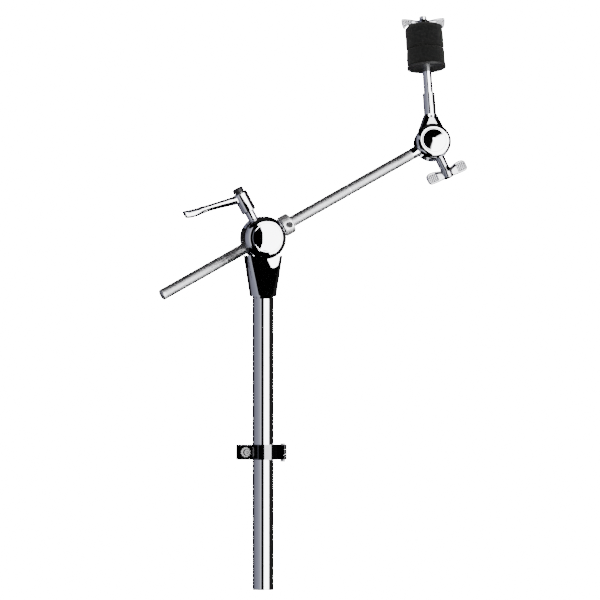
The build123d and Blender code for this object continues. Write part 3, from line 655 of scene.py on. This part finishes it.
# A bored hub with two wings, whose ends drop outside the felt's shoulder.
def wingNutPiece():
    d = wingNut
    low, high, bend = d["low"], d["high"], wingCast["round"]
    neck = d["radius"] - 0.5
    profile = [(d["bore"], low), (d["radius"] - 0.3, low), (d["radius"], low + 0.4), (neck, high - bend)]
    profile += arcRun((neck - bend, high - bend), bend, 0, 90, 6) + [(d["bore"], high)]
    hubPoints = turned(profile, wingCast["columns"])
    hubFaces = ringFaces(len(profile), wingCast["columns"])
    half, top, tail = 0.5 * d["span"], d["top"], d["tail"]
    edges = [(5.4, low + 0.3, high - 0.4, 5.0, 2.4), (10.0, low + 0.5, top - 1.6, 4.4, 2.4),
             (14.5, low + 0.5, top - 0.7, 4.2, 2.5), (17.5, low - 0.5, top - 0.2, 4.2, 2.6),
             (19.4, low - 2.2, top, 4.2, 2.8), (20.8, tail, top, 4.2, 2.8),
             (half - 1.1, tail + 2.0, top, 4.2, 2.8), (half - 0.1, tail + 6.5, top - 0.8, 3.2, 2.6)]
    keys = [(x, 0.5 * (bottom + above), wide, above - bottom, power)
            for x, bottom, above, wide, power in edges]
    shells = [(hubPoints.reshape(-1, 3), hubFaces), wingShell(1, keys), wingShell(-1, keys)]
    side = -np.cross(postUp, faceBack)
    shells = [(intoPlace(p, highPivot, side, postUp), f) for p, f in shells]
    piece = castTogether("wingNutPiece", shells, wingCast["voxel"], wingCast["softening"], wingChrome,
                         "wing_nut", "wing_nut")
    crossHatch(piece, highPivot, side, postUp, d, tail + 1.6, top - 0.8)


wingScrewPiece()
wingNutPiece()
print("wings made")


# lock bolt: a turned head on a star washer; x and z place its axis in the shared frame
bolt = {"x": -21.0, "z": 145.15, "face": 7.0, "shank": 2.5, "back": 11.5, "washer": 5.4, "washerTall": 2.4,
        "teeth": 12, "tooth": 0.95, "head": 3.5, "headTall": 5.8, "edge": 0.7, "socket": 1.5,
        "socketDeep": 1.6, "columns": 96, "darkRows": ((7, 9), (10, 11))}      # darkRows are blackened


# Turned about the bolt's axis; the washer's rim = its radius less a tooth's depth times a saw wave.
def lockBolt():
    d = bolt
    rim, head, low = d["washer"], d["head"], d["face"]
    ledge, top = low + d["washerTall"], low + d["headTall"]
    profile = [(0.01, -d["back"]), (d["shank"], -d["back"] + 0.4), (d["shank"], low), (rim - 0.4, low),
               (rim, low + 0.4), (rim, low + 1.0), (rim - 1.5, ledge), (head, ledge),
               (head, top - d["edge"]), (head - d["edge"], top), (d["socket"] + 0.4, top),
               (d["socket"], top - d["socketDeep"]), (0.01, top - d["socketDeep"])]
    points = turned(profile, d["columns"])
    onRim = np.clip((np.array([r for r, _ in profile]) - head - 0.2) / 1.2, 0, 1)
    cut = d["tooth"] * saw(np.arange(d["columns"]) * d["teeth"] / d["columns"])
    radius = np.array([r for r, _ in profile])[:, None]
    points[..., :2] *= (1 - onRim[:, None] * cut / radius)[..., None]
    allPoints, faces = closedTube(points)
    origin = mm * np.array([d["x"], 0, d["z"]])
    placed = intoPlace(allPoints, origin, np.array([1.0, 0, 0]), np.array([0, -1.0, 0]))
    piece = meshPiece("lockBolt", placed, faces, palePlate, "lock_key", "lock_bolt", 35)
    piece.data.materials.append(blackOxide)
    ring = np.zeros(len(faces), dtype=np.int32)
    for first, last in d["darkRows"]:
        ring[first * d["columns"]:last * d["columns"]] = 1
    piece.data.polygons.foreach_set("material_index", ring)


lockBolt()
print("lock bolt made")


# floor, studio and light
studio = {"floorRadius": 2.5, "floorPoints": 96, "floorTone": 0.9, "backdrop": 24.0, "whitePanel": 9.0,
          "fill": 1.3, "panelTop": (33, 38), "overhead": (50, 80), "overheadTone": 0.02}


# A pale disc that the tube stands on; gloss sees the studio through it.
def studioFloor():
    angle = np.linspace(0, 2 * np.pi, studio["floorPoints"], endpoint=False)
    ring = np.stack([np.cos(angle), np.sin(angle), 0 * angle], -1) * studio["floorRadius"]
    mesh = bpy.data.meshes.new("floor")
    mesh.from_pydata(ring.tolist(), [], [list(range(len(ring)))])
    floor = bpy.data.objects.new("floor", mesh)
    bpy.context.scene.collection.objects.link(floor)
    material, nodes, links, shader = newMaterial("paleFloor")
    shader.inputs["Base Color"].default_value = (studio["floorTone"],) * 3 + (1,)
    shader.inputs["Roughness"].default_value = 0.9
    path = nodes.new("ShaderNodeLightPath")
    glow = nodes.new("ShaderNodeMath")
    glow.operation = "MULTIPLY"
    glow.inputs[1].default_value = studio["backdrop"]
    links.new(path.outputs["Is Camera Ray"], glow.inputs[0])
    links.new(glow.outputs[0], shader.inputs["Emission Strength"])
    shader.inputs["Emission Color"].default_value = (1, 1, 1, 1)
    mesh.materials.append(material)
    floor.visible_glossy = False


studioFloor()

# outlines are (x, z) in millimetres on a face that stands depth in front of the axis and leans back by lean
# for each millimetre of height; away is how far the card stands from it
mirrorCards = {
    # the neck's front, lower on the right so that light catches the casting's shoulder
    "neckCard": {"outline": [(-34, 304), (75, 304), (75, 339), (6, 339), (1, 349.5), (-7, 351), (-34, 353)],
                 "depth": 14.0, "lean": 0.08, "away": 16, "node": "lower_tube"},
    # the lock's ear and its hinge
    "earCard": {"outline": [(-31, 137), (-12.5, 137), (-12.5, 153), (-31, 153)],
                "depth": 7.0, "lean": 0.0, "away": 20, "node": "lock_rear"},
    "hingeCard": {"outline": [(12.5, 137), (32, 137), (32, 153), (12.5, 153)],
                  "depth": 7.0, "lean": 0.0, "away": 8, "node": "lock_rear"},
}
# a curved strip beside the lock's band, level with it; from and to are compass directions from ahead
bandCard = {"radius": 46, "low": 137.5, "high": 152.5, "from": -34, "to": -165, "columns": 24,
            "node": "lock_rear"}
# upright rectangles, set off from a pivot in millimetres; facing is a compass direction from ahead
uprightCards = {
    # in front of the lower caps' left side
    "capCard": {"pivot": lowPivot, "offset": (-25.0, -58, -3), "facing": 0, "wide": 39, "tall": 74,
                "node": "lower_tube"},
    # to the left of the upper head's rounded ring
    "ringCard": {"pivot": highPivot, "offset": (-34.0, -27, 0), "facing": -50, "wide": 22, "tall": 30,
                 "node": "upper_casting"},
}


# A black card that only reflections see; points are in millimetres in the shared frame. The card moves with
# the CAD node that it stands beside.
def blackCard(name, points, faces, node):
    mesh = bpy.data.meshes.new(name)
    mesh.from_pydata((mm * np.asarray(points)).tolist(), [], faces)
    card = bpy.data.objects.new(name, mesh)
    bpy.context.scene.collection.objects.link(card)
    material, _, _, shader = newMaterial(name)
    shader.inputs["Base Color"].default_value = (0, 0, 0, 1)
    shader.inputs["Specular IOR Level"].default_value = 0
    mesh.materials.append(material)
    card.parent = frame["nodes"][node]
    card.visible_camera = False
    card.visible_diffuse = False
    card.visible_shadow = False


# The outline on its face, carried away along the mirrored line of sight.
def mirroredOutline(d):
    first = d["outline"][0][1]
    corners = np.array([(x, -d["depth"] + d["lean"] * (z - first), z) for x, z in d["outline"]])
    normal = np.array([0, -1, d["lean"]]) / math.hypot(1, d["lean"])
    sight = mm * corners - np.array(camera.location)
    sight /= np.linalg.norm(sight, axis=1)[:, None]
    return corners + d["away"] * (sight - 2 * (sight @ normal)[:, None] * normal)


# Two rows of points round the z axis.
def bandStrip(d):
    angles = np.radians(np.linspace(d["from"], d["to"], d["columns"]) + view["azimuth"])
    return np.array([(d["radius"] * math.sin(a), -d["radius"] * math.cos(a), z)
                     for z in (d["low"], d["high"]) for a in angles])


# The four corners of an upright rectangle.
def uprightOutline(d):
    facing = math.radians(d["facing"])
    side = 0.5 * d["wide"] * np.array([math.cos(facing), math.sin(facing), 0])
    up = np.array([0, 0, 0.5 * d["tall"]])
    centre = d["pivot"] / mm + np.array(d["offset"])
    return [centre - side - up, centre + side - up, centre + side + up, centre - side + up]


for name, card in mirrorCards.items():
    blackCard(name, mirroredOutline(card), [list(range(len(card["outline"])))], card["node"])
bandFaces = gridFaces(2, bandCard["columns"], False).tolist()
blackCard("bandCard", bandStrip(bandCard), bandFaces, bandCard["node"])
for name, card in uprightCards.items():
    blackCard(name, uprightOutline(card), [[0, 1, 2, 3]], card["node"])

# panels round the object, as (azimuth from the camera's side in degrees, grey or colour) stops
panels = [(-180, 0.006), (-121, 0.003), (-118, (0.13, 0.13, 0.16)), (-95, (0.21, 0.21, 0.27)),
          (-60, (0.27, 0.28, 0.36)), (-36, (0.38, 0.39, 0.47)), (-24, (0.66, 0.67, 0.76)),
          (-19, (0.50, 0.51, 0.55)), (-17, 0.003), (9, 0.003), (12, 1.0), (67, 1.0), (70, 0.020),
          (110, 0.016), (150, 0.012)]


# Gloss sees upright light and dark panels by compass direction; everything else sees soft white.
def studioWorld():
    world = bpy.data.worlds.new("studio")
    bpy.context.scene.world = world
    world.use_nodes = True
    nodes, links = world.node_tree.nodes, world.node_tree.links
    background = nodes["Background"]
    place = nodes.new("ShaderNodeTexCoord")

    def dotWith(direction):
        dot = nodes.new("ShaderNodeVectorMath")
        dot.operation = "DOT_PRODUCT"
        dot.inputs[1].default_value = direction
        links.new(place.outputs["Generated"], dot.inputs[0])
        return dot.outputs["Value"]

    compass = nodes.new("ShaderNodeMath")
    compass.operation = "ARCTAN2"
    links.new(dotWith(tuple(toRight)), compass.inputs[0])
    links.new(dotWith(tuple(toCamera)), compass.inputs[1])
    bearing = nodes.new("ShaderNodeMapRange")
    bearing.inputs["From Min"].default_value = -math.pi
    bearing.inputs["From Max"].default_value = math.pi
    links.new(compass.outputs[0], bearing.inputs["Value"])
    ramp = nodes.new("ShaderNodeValToRGB")
    elements = ramp.color_ramp.elements
    while len(elements) < len(panels):
        elements.new(0.5)
    for element, (azimuth, tone) in zip(elements, panels):
        element.position = (azimuth + 180) / 360
        element.color = (tuple(tone) if isinstance(tone, tuple) else (tone,) * 3) + (1,)
    links.new(bearing.outputs["Result"], ramp.inputs["Fac"])
    # the white panel is brighter than a ramp can hold, so its stops of 1 are lifted to the panel's strength
    lift = nodes.new("ShaderNodeMath")
    lift.operation = "POWER"
    lift.inputs[1].default_value = 8.0
    links.new(ramp.outputs["Color"], lift.inputs[0])
    lifted = nodes.new("ShaderNodeMath")
    lifted.operation = "MULTIPLY_ADD"
    lifted.inputs[1].default_value = studio["whitePanel"] - 1
    lifted.inputs[2].default_value = 1.0
    links.new(lift.outputs[0], lifted.inputs[0])
    bright = nodes.new("ShaderNodeVectorMath")
    bright.operation = "SCALE"
    links.new(ramp.outputs["Color"], bright.inputs[0])
    links.new(lifted.outputs[0], bright.inputs["Scale"])

    # slope of the direction: panels fade out over panelTop degrees, and a faint light hangs overhead
    rise = nodes.new("ShaderNodeMath")
    rise.operation = "ARCSINE"
    links.new(dotWith((0, 0, 1)), rise.inputs[0])
    steep = nodes.new("ShaderNodeMath")
    steep.operation = "ABSOLUTE"
    links.new(rise.outputs[0], steep.inputs[0])

    def between(source, limits, low, high):
        fade = nodes.new("ShaderNodeMapRange")
        fade.interpolation_type = "SMOOTHSTEP"
        fade.inputs["From Min"].default_value = math.radians(limits[0])
        fade.inputs["From Max"].default_value = math.radians(limits[1])
        fade.inputs["To Min"].default_value = low
        fade.inputs["To Max"].default_value = high
        links.new(source, fade.inputs["Value"])
        return fade.outputs["Result"]

    panelled = nodes.new("ShaderNodeVectorMath")
    panelled.operation = "SCALE"
    links.new(bright.outputs["Vector"], panelled.inputs[0])
    links.new(between(steep.outputs[0], studio["panelTop"], 1.0, 0.0), panelled.inputs["Scale"])
    together = nodes.new("ShaderNodeVectorMath")
    together.operation = "ADD"
    links.new(panelled.outputs["Vector"], together.inputs[0])
    links.new(between(rise.outputs[0], studio["overhead"], 0.0, studio["overheadTone"]), together.inputs[1])

    path = nodes.new("ShaderNodeLightPath")
    soft = nodes.new("ShaderNodeMix")
    soft.data_type = "RGBA"
    links.new(path.outputs["Is Camera Ray"], soft.inputs["Factor"])
    soft.inputs["A"].default_value = (studio["fill"],) * 3 + (1,)
    soft.inputs["B"].default_value = (studio["backdrop"],) * 3 + (1,)
    pick = nodes.new("ShaderNodeMix")
    pick.data_type = "RGBA"
    links.new(path.outputs["Is Glossy Ray"], pick.inputs["Factor"])
    links.new(soft.outputs["Result"], pick.inputs["A"])
    links.new(together.outputs["Vector"], pick.inputs["B"])
    links.new(pick.outputs["Result"], background.inputs["Color"])
    background.inputs["Strength"].default_value = 1.0


studioWorld()
print("studio set")
